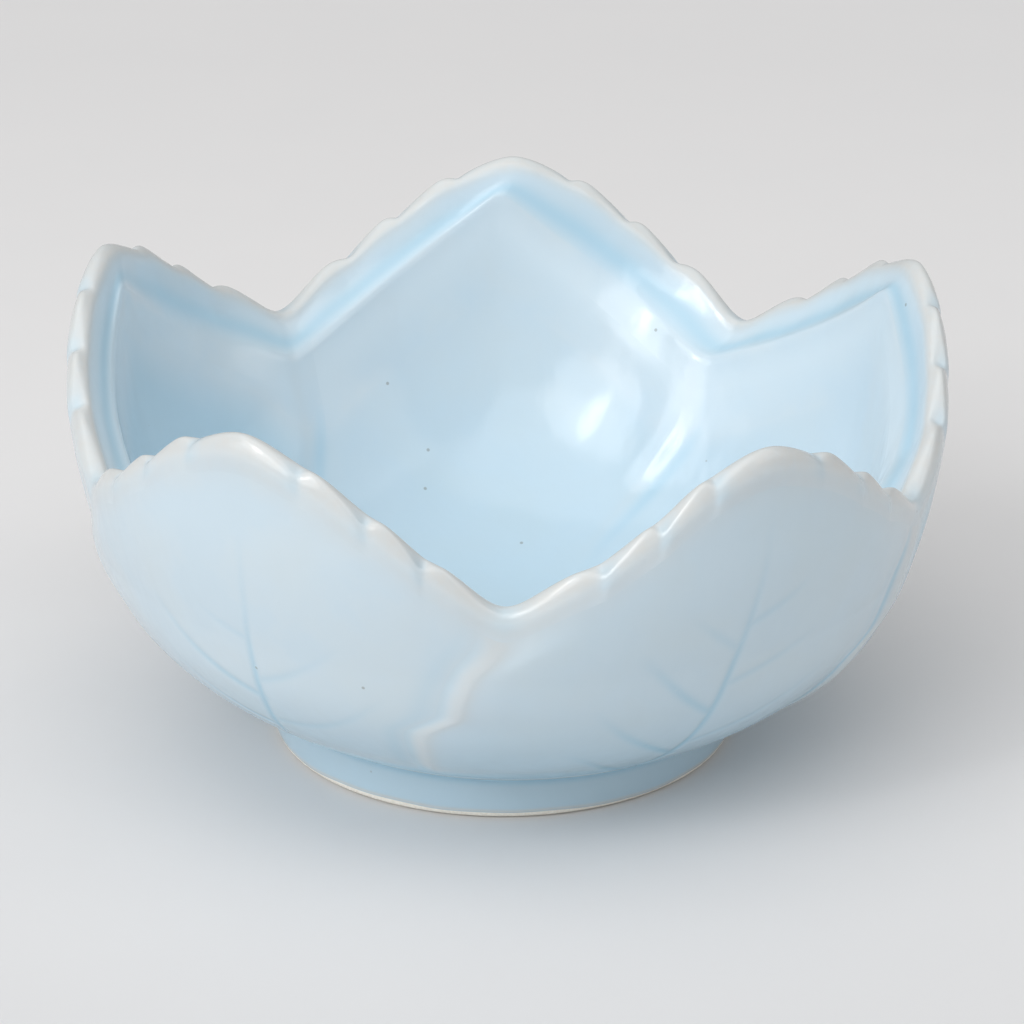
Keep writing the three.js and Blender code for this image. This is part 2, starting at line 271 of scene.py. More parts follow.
def srgb(red, green, blue):
    """A colour given as it shows on a screen, as the linear values that a shader takes."""
    def linear(value):
        value /= 255
        return value / 12.92 if value <= 0.04045 else ((value + 0.055) / 1.055) ** 2.4
    return (linear(red), linear(green), linear(blue), 1)


GLAZE = srgb(199, 217, 228)
GLAZE_CLOUD = srgb(206, 219, 226)
# Deep blue of pooled glaze, also used for painted shade
GLAZE_POOL_AND_SHADE = srgb(154, 199, 221)
GLAZE_THIN = srgb(206, 206, 203)
# Lighter tone for the painted light on the inside wall
GLAZE_PAINTED_LIGHT = srgb(211, 225, 233)
SPECK = srgb(128, 130, 124)
BARE_CLAY = srgb(248, 245, 236)
BARE_CLAY_SHADE = srgb(238, 232, 220)
# The floor's colours are painted light: darker near the camera and far behind, lighter around the bowl
FLOOR_NEAR = srgb(213, 213, 214)
FLOOR_MIDDLE = srgb(229, 228, 228)
FLOOR_FAR = srgb(219, 218, 218)
FLOOR_CLOUD = srgb(205, 207, 210)


def smooth(x, low, high):
    """0 up to low and 1 from high on, with an even curve between them."""
    t = np.clip((x - low) / (high - low), 0, 1)
    return t * t * (3 - 2 * t)


def mix(a, b, part):
    """From a, where the part is 0, to b, where it is 1."""
    return a + (b - a) * part


def bell(x, width):
    """1 at 0, going down on both sides to almost 0 at twice the width."""
    return np.exp(-(x / width) ** 2)


def stripe(x, strength, middle, width):
    return strength * bell(x - middle, width)


def rounded(points, times):
    """Cut the corners of a line of points, so that it becomes a smooth curve between its ends."""
    for _ in range(times):
        near = 0.75 * points[:-1] + 0.25 * points[1:]
        far = 0.25 * points[:-1] + 0.75 * points[1:]
        cut = np.empty((2 * len(near),) + points.shape[1:])
        cut[0::2] = near
        cut[1::2] = far
        points = np.concatenate([points[:1], cut, points[-1:]])
    return points


def along_line(points):
    """The second values of a list of points, as a function of the first ones."""
    places, values = zip(*points)
    return lambda x: np.interp(x, places, values)


def tip_part(angle):
    """Part of the way from the nearest tip (0) to the valley (1), at an angle across a leaf."""
    return np.abs(np.mod(angle + HALF_LEAF, LEAF_PITCH) - HALF_LEAF) / HALF_LEAF


def seam_distance(angle):
    """Degrees to the nearest seam, which lies under the proud edge."""
    return np.abs(np.mod(angle + STEP_WIDTH / 2 + 2 * HALF_LEAF, LEAF_PITCH) - HALF_LEAF)


def seam_offset(angle):
    """Signed degrees from the nearest proud edge: positive on the proud leaf."""
    return np.mod(angle + 2 * HALF_LEAF, LEAF_PITCH) - HALF_LEAF


def softened(outline, spread, across=tip_part):
    """An outline as a function of the angle, rounded over a spread of degrees as clay and glaze are.

    across turns angles into what the outline is a function of.
    """
    step = 0.1
    angles = np.arange(0, LEAF_PITCH, step)
    values = outline(across(angles))
    reach = int(4 * spread / step)
    weights = bell(np.arange(-reach, reach + 1) * step, spread * math.sqrt(2))
    wrapped = np.concatenate([values[-reach:], values, values[:reach]])
    table = np.convolve(wrapped, weights / weights.sum(), "valid")
    return lambda angle: np.interp(np.mod(angle, LEAF_PITCH), angles, table, period=LEAF_PITCH)


def lobe_marks():
    """Where each lobe starts and ends, as parts of half a leaf."""
    marks = [mark for mark, _ in NOTCHES] + [1.0]
    return list(zip(marks, marks[1:]))


def edge_outline(u):
    """Height of the serrated edge: a rounded tip, then lobes that rise soon after each notch."""
    marks = [0.0] + [mark for mark, _ in NOTCHES] + [1.0]
    heights = [NOTCHES[0][1]] + [height for _, height in NOTCHES] + [EDGE_VALLEY]
    out = np.interp(u, marks, heights)
    first = NOTCHES[0][0]
    out = out + (TIP_HEIGHT - NOTCHES[0][1]) * (1 - np.minimum(u / first, 1) ** TIP_ROUNDNESS)
    for low, high in lobe_marks():
        along = np.clip((u - low) / (high - low), 0, 1)
        rise = np.sin(0.5 * math.pi * np.minimum(along / LOBE_CREST, 1))
        fall = 1 - np.maximum((along - LOBE_CREST) / (1 - LOBE_CREST), 0) ** LOBE_FALL
        bulge = LAST_LOBE_BULGE if high == 1.0 else LOBE_BULGE
        out = out + bulge * rise * fall
    return out


def set_back(u):
    """How far each lobe is set back outside: 1 just after a notch, going down to 0 at the next one."""
    out = np.zeros_like(u)
    for low, high in lobe_marks():
        along = (u - low) / (high - low)
        inside = (along >= 0) & (along < 1)
        out = np.where(inside, (1 - np.clip(along, 0, 1)) ** LOBE_SET_BACK, out)
    return out


def groove(u):
    """Narrow grooves in the notches, across the rim."""
    return sum(bell((u - mark) * HALF_LEAF, GROOVE_WIDTH) for mark, _ in NOTCHES)


def notch_pool(u):
    """Glaze gathers at the low end of each lobe, less at the start of the next one, and in the valley."""
    low_end, next_start, valley = 1.9, 0.7, 2.5
    away = [(u - mark) * HALF_LEAF for mark, _ in NOTCHES]
    in_notches = sum(np.where(past < 0, bell(past, low_end), bell(past, next_start)) for past in away)
    return in_notches + bell((u - 1) * HALF_LEAF, valley)


def facet_outline(u):
    """Height of the facet's upper edge."""
    return mix(FACET_TIP_HEIGHT, FACET_VALLEY_HEIGHT, (1 + FACET_CURVE) * u - FACET_CURVE * u * u)


def bulge_outline(u):
    """How much of the bulge a leaf has: all at its middle, none at its seams."""
    return 1 - u ** BULGE_POWER


edge_crisp = softened(edge_outline, NOTCH_SPREAD)
edge_valley = softened(edge_outline, VALLEY_SPREAD)
edge_inner = softened(edge_outline, INNER_EDGE_SPREAD)
edge_plain = softened(edge_outline, PLAIN_SPREAD)
set_back_at = softened(set_back, SET_BACK_SPREAD)
groove_at = softened(groove, GROOVE_SPREAD)
facet_top = softened(facet_outline, FACET_SPREAD)
bulge_at = softened(bulge_outline, BULGE_SPREAD)
relief_at = softened(along_line(RELIEF), RELIEF_SPREAD, seam_offset)
roll_at = softened(along_line(ROLL), ROLL_SPREAD, seam_offset)


def edge_top(angle):
    """Height of the serrated edge, with its valleys rounded more than its notches."""
    near_valley = smooth(tip_part(angle), VALLEY_STARTS, VALLEY_FULL)
    return mix(edge_crisp(angle), edge_valley(angle), near_valley)


def brim_outline(angle):
    """Height that the outer rim follows: the edge without its lobes, and never far above the edge."""
    return np.minimum(edge_plain(angle), edge_top(angle) + BRIM_OVER_EDGE)


brim_height = softened(brim_outline, BRIM_SPREAD, across=lambda angle: angle)


def step_rise(angle, z):
    """How far a leaf stands out. The proud edge rounds over and drops to the neighbour within STEP_WIDTH."""
    across = (HALF_LEAF - angle) / LEAF_PITCH
    slope = STEP_HEIGHT * np.minimum(across, 1) ** 3
    drop = smooth(-HALF_LEAF - angle, 0, STEP_WIDTH)
    tip_fade = 1 - (1 - STEP_LEFT_AT_TIP) * smooth(z, VALLEY_HEIGHT, TIP_HEIGHT)
    fade = smooth(z, WALL_BOTTOM, WALL_BOTTOM + STEP_FADE) * tip_fade
    rim_fade = mix(STEP_LEFT_AT_RIM, 1, smooth(edge_top(angle) - z, 0, STEP_RIM_FADE))
    fade = fade * (1 - SCALLOP_NOTCH_DEPTH * bell(z - SCALLOP_NOTCH, SCALLOP_NOTCH_WIDTH))
    near_valley = smooth(tip_part(angle), 0.7, 0.95)
    return (slope * (1 - drop) - STEP_MEAN) * fade * mix(1, rim_fade, near_valley)


def outer_radius(z, angle):
    """The wall's outside, with its leaves' bulges, their steps and the set-back lobes at the edge."""
    t = np.clip((z - NECK_HEIGHT) / (BELLY_HEIGHT - NECK_HEIGHT), 0, 1)
    radius = mix(NECK_RADIUS, BELLY_RADIUS, (1 - (1 - t) ** OUTER_RISE) ** OUTER_REACH)
    radius = radius + RIM_FLARE * np.maximum(0, z - FLARE_START) / (TIP_HEIGHT - FLARE_START)
    radius = radius + LEAF_BULGE * bulge_at(angle) * smooth(z, BULGE_START, BULGE_FULL)
    below = edge_top(angle) - z
    notch = LOBE_DEPTH_OUT * set_back_at(angle) * (1 - smooth(below, 0, LOBE_FADE))
    return radius + step_rise(angle, z) - notch


def inner_radius(z):
    """The inside's radius at a height, before it thickens towards the seams."""
    t = np.clip((z - WELL_BOTTOM) / INNER_SPAN, 0, 1)
    return INNER_RADIUS * (1 - (1 - t) ** INNER_RISE) ** INNER_REACH


def inner_height(radius):
    """The height at which the inside has a radius."""
    rest = 1 - (radius / INNER_RADIUS) ** (1 / INNER_REACH)
    return WELL_BOTTOM + INNER_SPAN * (1 - rest ** (1 / INNER_RISE))


def inner_wall(z, angle):
    """The wall inside. Towards a seam it thickens, and the proud leaf ends there in a soft bevel and a step.

    Over its last few millimetres below the facet's edge it leans out, most on the side that laps over.
    """
    thicker = smooth(z, RELIEF_START, RELIEF_FULL) * relief_at(angle)
    near_edge = np.clip(1 - (facet_top(angle) - z) / ROLL_REACH, 0, 1)
    return inner_radius(z) - thicker + roll_at(angle) * near_edge ** 2


def outer_swing(z):
    """Degrees by which the seams outside swing to one side on their way down to the foot."""
    down = np.maximum(0, VALLEY_HEIGHT - z)
    return -OUTER_SWING * np.tanh(OUTER_SWING_RATE * down / (VALLEY_HEIGHT - WALL_BOTTOM))


def scallop(z, angle):
    """The proud edge runs down in two scallops, the lower one leaning out more than the upper one."""
    heights, turns = rounded(np.array(SCALLOPS, float), ROUNDINGS).T
    return np.interp(z, heights, turns) * bell(seam_distance(angle), SCALLOP_REACH)


def inner_swing(z):
    """Degrees by which the seams inside swing to the other side on their way down to the well."""
    down = np.clip((INNER_SWING_TOP - z) / (INNER_SWING_TOP - INNER_SWING_LOW), 0, 1)
    return INNER_SHIFT + (INNER_SWING - INNER_SHIFT) * down ** INNER_SWING_RATE


def arc_length():
    """Length along the wall's outside from the sole to each height, as a function of height."""
    z = np.linspace(WALL_BOTTOM, TIP_HEIGHT, 400)
    radius = outer_radius(z, np.zeros_like(z))
    length = np.concatenate([[0], np.cumsum(np.hypot(np.diff(radius), np.diff(z)))])
    return lambda height: np.interp(height, z, length)


wall_length = arc_length()


def vein_lines(leaf):
    """Each vein of a leaf as a smooth line of angles and heights, with its depth along it and its width."""
    lines = []
    for number, drawn in enumerate(DRAWINGS[leaf]):
        line = rounded(np.array(drawn, float), ROUNDINGS)
        t = np.linspace(0, 1, len(line))
        if number == 0:
            depth, width = MIDRIB_DEPTH * smooth(t, 0, 0.6), MIDRIB_WIDTH
        else:
            climbs_left = drawn[-1][0] < drawn[0][0]
            strength = 1.0 if climbs_left else RIGHT_VEIN_STRENGTH
            if number == 1:
                strength = FIRST_VEIN_STRENGTH
            depth, width = strength * VEIN_DEPTH * (1 - smooth(t, 0.35, 1)), VEIN_WIDTH
        lines.append((line[:, 0], line[:, 1], depth, width))
    return lines


def veins(leaf, angle, z):
    """Depth of the incised veins at points of the outside. angle is as seen, with the swing in it."""
    across = np.radians(angle) * outer_radius(z, np.zeros_like(z))
    along = wall_length(z)
    depth = np.zeros_like(z)
    for line_angle, line_z, line_depth, width in vein_lines(leaf):
        x = np.radians(line_angle) * outer_radius(line_z, np.zeros_like(line_z))
        y = wall_length(line_z)
        for i in range(len(x) - 1):
            dx, dy = x[i + 1] - x[i], y[i + 1] - y[i]
            t = np.clip(((across - x[i]) * dx + (along - y[i]) * dy) / (dx * dx + dy * dy), 0, 1)
            away = np.hypot(across - x[i] - t * dx, along - y[i] - t * dy)
            depth = np.maximum(depth, mix(line_depth[i], line_depth[i + 1], t) * bell(away, width))
    return depth


def leaf_angles():
    """Angles across one leaf, closer together at the notches of its edge and over the step."""
    angles = np.linspace(-HALF_LEAF - STEP_WIDTH, HALF_LEAF - STEP_WIDTH, 4001)
    density = 1 + STEP_DENSITY * bell(angles + HALF_LEAF + 0.5 * STEP_WIDTH, STEP_WIDTH)
    for mark, _ in NOTCHES:
        past = np.abs(angles) - mark * HALF_LEAF
        density += NOTCH_DENSITY * bell(past - NOTCH_SHIFT, NOTCH_REACH)
    total = np.concatenate([[0], np.cumsum(0.5 * (density[1:] + density[:-1]))])
    return np.interp(np.linspace(0, total[-1], LEAF_COLUMNS), total, angles)


class Sheet:
    """Rows of points: radius, height, angle, and how much the glaze is pooled or thin. The pooled value also
    holds painted shade, and painted light where it is below 0.
    """

    def __init__(self):
        self.rows = []

    def add(self, radius, z, angle, pool_and_painted_light=0.0, thin=0.0):
        shape = np.broadcast(radius, z, angle).shape
        rows = [np.broadcast_to(value, shape) for value in (radius, z, angle, pool_and_painted_light, thin)]
        self.rows.append(np.stack(rows, -1))

    def points(self):
        return np.concatenate(self.rows, 0)


def pale_below(depth):
    """The glaze thins out and pales towards the edge of a leaf, at a depth below it."""
    band = PALE_BAND * (1 - smooth(depth, *BAND_DEPTHS))
    line = PALE_LINE * (1 - smooth(depth, *LINE_DEPTHS))
    return PALE_FAR + band + line


def outside_tones(leaf, angle, z, vein_depth):
    """Pooled and thin glaze on the wall outside: in the veins, towards the foot and beside the seams, where
    the furrow at the foot of a step is also painted shadow.
    """
    offset = seam_offset(angle)
    above_foot = smooth(z, WALL_BOTTOM + 1, WALL_BOTTOM + 9)
    at_step = above_foot * smooth(edge_top(angle) - z, *STEP_DEPTHS)
    pool_and_painted_light = VEIN_POOL * vein_depth / MIDRIB_DEPTH + FOOT_POOL * (1 - smooth(z, *FOOT_HEIGHTS))
    pool_and_painted_light = pool_and_painted_light + OUTSIDE_POOL.get(leaf, 0) * smooth(seam_distance(angle), *OUTSIDE_FADE)
    # The furrow stripe at the foot of the step is painted shadow as well as pooled glaze
    beside = stripe(offset, BAND_POOL.get(leaf, 0), *BAND) + stripe(offset, FURROW_POOL_AND_SHADE.get(leaf, 0), *FURROW)
    beside = (beside + stripe(offset, *NEIGHBOUR_STRIPE)) * at_step
    pool_and_painted_light = pool_and_painted_light + beside * (1 - smooth(z, *FURROW_HEIGHTS))
    pale = pale_below(brim_height(angle) - z) * smooth(z, *PALE_HEIGHTS)
    return pool_and_painted_light, stripe(offset, *PROUD_EDGE_THIN) * at_step + pale


def rim_tones(angle, z, along):
    """Pooled and thin glaze over the rim: thin on its corners, pooled in its notches and in the cove."""
    in_notch = notch_pool(tip_part(angle))
    on_top = stripe(along, 1, *RIM_TOP)
    thin = pale_below(brim_height(angle) - z) * (1 - smooth(along, *PALE_PLACES))
    for corner in RIM_THIN:
        thin = thin + stripe(along, *corner)
    cove = stripe(along, *COVE_STRIPE) + COVE_POOL * smooth(along, *COVE_PLACES)
    return cove + NOTCH_POOL * in_notch * on_top, thin - NOTCH_LESS_THIN * in_notch * on_top


def inside_tones(leaf, angle, z, depth):
    """Pooled and thin glaze on the wall inside, at a depth below the facet's upper edge, with painted light
    just below that edge and painted shade on the left leaf.
    """
    offset = seam_offset(angle)
    crease = smooth(z, RELIEF_START, RELIEF_START + 10)
    pool_and_painted_light = stripe(offset, CREASE_POOL * crease, *CREASE_FURROW) + WELL_POOL * (1 - smooth(z, *WELL_HEIGHTS))
    # Painted shade: a deeper blue over the left leaf's inside, which lies in shade
    painted_shade = INSIDE_PAINTED_SHADE.get(leaf, 0) * smooth(seam_distance(angle), *INSIDE_FADE)
    pool_and_painted_light = pool_and_painted_light + painted_shade * smooth(z, *LEFT_HEIGHTS)
    # Painted light: a negative pool lightens the wall below the facet's edge, less on the left leaf, which
    # lies in shade
    pool_and_painted_light = pool_and_painted_light - INSIDE_PAINTED_LIGHT.get(leaf, 1) * (1 - smooth(depth, *PAINTED_LIGHT_DEPTHS))
    thin = stripe(offset, CREASE_THIN * crease, *CREASE_EDGE) + stripe(depth, *FACET_EDGE_THIN)
    return pool_and_painted_light, thin


def add_sole(sheet, angle, low):
    """The leaf's sole on the floor and the foot, and the lip that turns up from it into the wall. The sole
    and the lip's underside are a deeper blue: pooled glaze and painted shade.
    """
    sole_end = FOOT_TOP_RADIUS + SOLE_OVERHANG
    seen = angle + outer_swing(SOLE_HEIGHT)
    level = np.full_like(angle, SOLE_HEIGHT)
    # Darker blue on the sole and under the lip: pooled glaze and painted shade
    for radius in (FLOOR_LOWER_RADIUS, FOOT_TOP_RADIUS - 1.5, sole_end):
        sheet.add(np.full_like(angle, radius)[None], level[None], seen[None], SOLE_POOL_AND_SHADE)
    lip_start = np.stack([np.full_like(angle, sole_end), level], -1)
    lip_turn = np.stack([outer_radius(LIP_TURN_HEIGHT, angle) + LIP_TURN_OUT, level + LIP_TURN_RISE], -1)
    lip_end = np.stack([outer_radius(low, angle), np.full_like(angle, low)], -1)
    lip = rounded(np.stack([lip_start, lip_turn, lip_end]), ROUNDINGS)[1:-1]
    part = np.linspace(0, 1, len(lip))[:, None]
    sheet.add(lip[..., 0], lip[..., 1], seen, mix(SOLE_POOL_AND_SHADE, LIP_POOL, part), stripe(part, *LIP_THIN))


def add_outside(sheet, leaf, angle, low):
    """The wall outside with its veins, from the lip up to the rim, where the swing runs out."""
    part = np.linspace(0, 1, OUTER_ROWS)[:, None] ** OUTER_CROWDING
    z = mix(low, brim_height(angle) - RIM_START, part)
    straighten = 1 - smooth(part, 0.8, 1)
    seen = angle + (outer_swing(z) + scallop(z, angle)) * straighten
    drawn_at = uneven(0 * z, z, LEAVES[leaf] + seen)[2] - LEAVES[leaf]
    depth = veins(leaf, drawn_at, z) * smooth(seam_distance(angle), *VEIN_FADE)
    pool_and_painted_light, thin = outside_tones(leaf, angle, z, depth)
    sheet.add(outer_radius(z, angle) - depth, z, seen, pool_and_painted_light, thin)


def add_rim(sheet, leaf, angle, facet):
    """The rim and the cove, whose tones run on into those of the wall inside."""
    rim, along = rim_curve(angle)
    pool_and_painted_light, thin = rim_tones(angle, rim[..., 1], along)
    wall_pool_and_painted_light, wall_thin = inside_tones(leaf, angle, facet, FACET_ROUNDING)
    on_wall = smooth(along, *WALL_PLACES)
    pool_and_painted_light, thin = mix(pool_and_painted_light, wall_pool_and_painted_light, on_wall), mix(thin, wall_thin, on_wall)
    seen = angle + INNER_SHIFT * smooth(along, RIM_WIDTH, 7)
    sheet.add(rim[..., 0], rim[..., 1], seen, pool_and_painted_light, np.clip(thin, 0, 1))


def add_inside(sheet, leaf, angle, facet, floor_top):
    """The wall inside, from the facet down to the well floor."""
    part = 1 - (1 - np.linspace(0, 1, INNER_ROWS)[1:, None]) ** INNER_CROWDING
    z = mix(facet, floor_top, part)
    pool_and_painted_light, thin = inside_tones(leaf, angle, z, facet + FACET_ROUNDING - z)
    sheet.add(inner_wall(z, angle), z, angle + inner_swing(z), pool_and_painted_light, thin)


def add_joint(sheet, angle, floor_top):
    """The hidden face where the leaf butts on the edge of the well floor."""
    part = np.linspace(1, 0, JOINT_ROWS + 2)[1:-1, None]
    swing = mix(outer_swing(SOLE_HEIGHT), inner_swing(floor_top), part)
    radius = mix(FLOOR_LOWER_RADIUS, FLOOR_UPPER_RADIUS, part)
    sheet.add(radius, mix(SOLE_HEIGHT, floor_top, part), angle + swing)


def leaf_sheet(leaf, angle):
    """The surface of one leaf, from its sole over the rim to the well floor and back to the sole."""
    sheet = Sheet()
    low = WALL_BOTTOM + LIP_HEIGHT
    facet = facet_top(angle) - FACET_ROUNDING
    floor_top = inner_height(FLOOR_UPPER_RADIUS)
    add_sole(sheet, angle, low)
    add_outside(sheet, leaf, angle, low)
    add_rim(sheet, leaf, angle, facet)
    add_inside(sheet, leaf, angle, facet, floor_top)
    add_joint(sheet, angle, floor_top)
    return sheet.points()


def rim_curve(angle):
    """The section over the rim: round outer corner, top face, round inner corner, cove and soft facet edge.

    Each point also gets its place along the section: millimetres inward over the rim, then 4 to 7 from the
    inner corner down the cove to the facet edge.
    """
    top, inner = edge_top(angle), edge_inner(angle)
    brim = brim_height(angle)
    edge = outer_radius(top, angle)
    plain = edge + LOBE_DEPTH_OUT * set_back_at(angle)
    sunk = GROOVE_DEPTH * groove_at(angle)
    points = [(outer_radius(brim - RIM_START, angle), brim - RIM_START, -1.6)]
    for inward, drop in RIM_SECTION:
        height = mix(mix(brim, top, smooth(inward, *BRIM_TO_EDGE)), inner, smooth(inward, *EDGE_TO_INNER))
        sink = sunk * smooth(inward, *GROOVE_BEGIN) * (1 - smooth(inward, *GROOVE_END))
        radius = mix(edge, plain, smooth(inward, *SET_BACK_END)) - inward
        points.append((radius, height - drop - sink, inward))
    facet = facet_top(angle)
    facet_radius = inner_wall(facet, angle)
    corner = inner - RIM_SECTION[-1][1]
    hollow = COVE_HOLLOW * smooth(roll_at(angle), ROLL_LEAST, ROLL_MOST)
    upper_in, upper_down, upper_along = COVE_UPPER
    lower_in, lower_down, lower_along = COVE_LOWER
    cove = [(upper_in - hollow, upper_down, upper_along), (lower_in, lower_down - hollow, lower_along)]
    for inward, down, along in cove:
        points.append((mix(plain - RIM_WIDTH, facet_radius, inward), mix(corner, facet, down), along))
    for below, along in [(0, 6.8), (0.5 * FACET_ROUNDING, 7.3), (FACET_ROUNDING, 7.8)]:
        points.append((inner_wall(facet - below, angle), facet - below, along))
    curve = np.stack([np.stack(np.broadcast_arrays(*point), -1) for point in points])
    curve = rounded(curve, ROUNDINGS)[1:]
    return curve[..., :2], curve[..., 2]


def uneven(radius, z, azimuth):
    """Radius, height and azimuth of points with the small unevenness of the upper wall."""
    turned, raised = azimuth, z
    place_round = np.mod(azimuth, 360)
    for start, full, back, end, turn, rise in TURNS:
        part = smooth(place_round, start, full) * (1 - smooth(place_round, back, end))
        part = part * smooth(z, TURN_LOW, TURN_HIGH)
        turned = turned + turn * part
        raised = raised + rise * part
    from_right = np.mod(azimuth + 180, 360) - 180
    flat = np.cos(0.5 * math.pi * np.clip(from_right / FLAT_REACH, -1, 1)) ** 2
    return radius * (1 - FLAT_PART * flat * smooth(z, FLAT_LOW, FLAT_HIGH)), raised, turned


def place(radius, z, azimuth):
    """Points of the bowl in its own frame, leaned by the same small turn at every height above the foot."""
    radius, z, azimuth = uneven(radius, z, azimuth)
    x = radius * np.cos(np.radians(azimuth))
    y = radius * np.sin(np.radians(azimuth))
    turn = math.sin(math.radians(LEAN)) * smooth(z, 0, FOOT_HEIGHT)
    return np.stack([x + FOOT_AXIS[0] + z * turn, y + FOOT_AXIS[1] + 0 * z, z - x * turn], -1)


def grid_normals(points, closed_rows=False):
    """Normals of a grid that runs round the bowl in its second direction."""
    across = np.roll(points, -1, axis=1) - points
    if closed_rows:
        up = np.roll(points, -1, axis=0) - points
    else:
        up = np.diff(points, axis=0)
        across = 0.5 * (across[:-1] + across[1:])
    diagonal = 0.5 * (up + np.roll(up, -1, axis=1))
    faces = np.cross(across[: len(diagonal)], diagonal)
    faces = faces + np.roll(faces, 1, axis=1)
    if closed_rows:
        normals = faces + np.roll(faces, 1, axis=0)
    else:
        normals = np.zeros_like(points)
        normals[:-1] += faces
        normals[1:] += faces
    return normals / np.maximum(np.linalg.norm(normals, axis=-1, keepdims=True), 1e-12)


def grid_faces(tone):
    """Quads of a closed strip. Each starts at the corner from which its diagonal joins the closer tones."""
    rows, columns = tone.shape
    index = np.arange(rows * columns).reshape(rows, columns)
    down = np.roll(index, -1, axis=0)
    tone_down = np.roll(tone, -1, axis=0)
    quads = np.stack([index[:, :-1], index[:, 1:], down[:, 1:], down[:, :-1]], -1)
    straight = np.abs(tone[:, :-1] - tone_down[:, 1:])
    crossed = np.abs(tone[:, 1:] - tone_down[:, :-1])
    quads = np.where((crossed < straight)[..., None], np.roll(quads, -1, axis=-1), quads)
    return [tuple(quad) for quad in quads.reshape(-1, 4).tolist()]


def ring_quads(rows, columns):
    """Quads of a closed ring of rows, each starting at its own row and column."""
    index = np.arange(rows * columns).reshape(rows, columns)
    down = np.roll(index, -1, axis=0)
    quads = np.stack([index, np.roll(index, -1, axis=1), np.roll(down, -1, axis=1), down], -1)
    return quads.reshape(-1, 4).tolist()


def zip_strip(left, right, left_at, right_at):
    """Triangles between two lines of vertices, each with its place along the way from 0 to 1."""
    i = j = 0
    faces = []
    while i < len(left) - 1 or j < len(right) - 1:
        if j == len(right) - 1 or (i < len(left) - 1 and left_at[i + 1] <= right_at[j + 1]):
            faces.append((left[i], left[i + 1], right[j]))
            i += 1
        else:
            faces.append((left[i], right[j + 1], right[j]))
            j += 1
    return faces


def parts_along(points):
    """The place of each point along a line, as a part of the line's length."""
    length = np.concatenate([[0], np.cumsum(np.linalg.norm(np.diff(points, axis=0), axis=1))])
    return length / length[-1]


def point_at(t, places, line):
    """The point at a part of the way along a line."""
    return np.array([np.interp(t, places, line[:, k]) for k in range(3)])


def cap(points, column, inward, apex, first_new):
    """Close a leaf at one side. A middle line, set in a little, keeps the two leaves of a lap joint apart."""
    rows, columns = points.shape[:2]
    outside_rows = np.arange(0, apex + 1)
    inside_rows = np.arange(rows - 1, apex - 1, -1)
    line_out, line_in = points[outside_rows, column], points[inside_rows, column]
    at_out, at_in = parts_along(line_out), parts_along(line_in)
    at = np.linspace(0, 1, CAP_POINTS + 2)[1:-1]
    middle = np.array([0.5 * (point_at(t, at_out, line_out) + point_at(t, at_in, line_in)) for t in at])
    radial = middle - np.array([FOOT_AXIS[0], FOOT_AXIS[1], 0])
    round_way = np.stack([-radial[:, 1], radial[:, 0], 0 * radial[:, 0]], -1)
    round_way /= np.linalg.norm(round_way, axis=1, keepdims=True)
    middle += inward * CAP_INSET * round_way
    new = [first_new + i for i in range(len(middle))]
    outside = (outside_rows * columns + column).tolist()
    inside = (inside_rows * columns + column).tolist()
    faces = zip_strip(outside, new, at_out, at)
    faces += [(c, b, a) for a, b, c in zip_strip(inside, new, at_in, at)]
    faces.append((outside[0], new[0], inside[0]))
    if inward < 0:
        faces = [(c, b, a) for a, b, c in faces]
    return middle, faces


def make_piece(name, node, material, points, faces, normals, fields):
    """A mesh object from points in millimetres, riding with the bowl in place of a node.

    Quads whose corners all have a normal are smooth, and other faces are flat.
    """
    mesh = bpy.data.meshes.new(name)
    mesh.from_pydata((points * MM).tolist(), [], faces)
    mesh.update()
    smooth_faces = np.array([all(np.any(normals[v]) for v in face) and len(face) == 4 for face in faces])
    mesh.polygons.foreach_set("use_smooth", smooth_faces)
    loop_normals = []
    for face, is_smooth in zip(faces, smooth_faces):
        loop_normals.extend(normals[v] if is_smooth else (0.0, 0.0, 0.0) for v in face)
    mesh.normals_split_custom_set(np.array(loop_normals).tolist())
    for field, values in fields.items():
        layer = mesh.attributes.new(field, "FLOAT", "POINT")
        layer.data.foreach_set("value", np.asarray(values, np.float32))
    mesh.materials.append(material)
    piece = bpy.data.objects.new(name, mesh)
    bpy.context.scene.collection.objects.link(piece)
    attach(piece, "root")
    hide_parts(node)


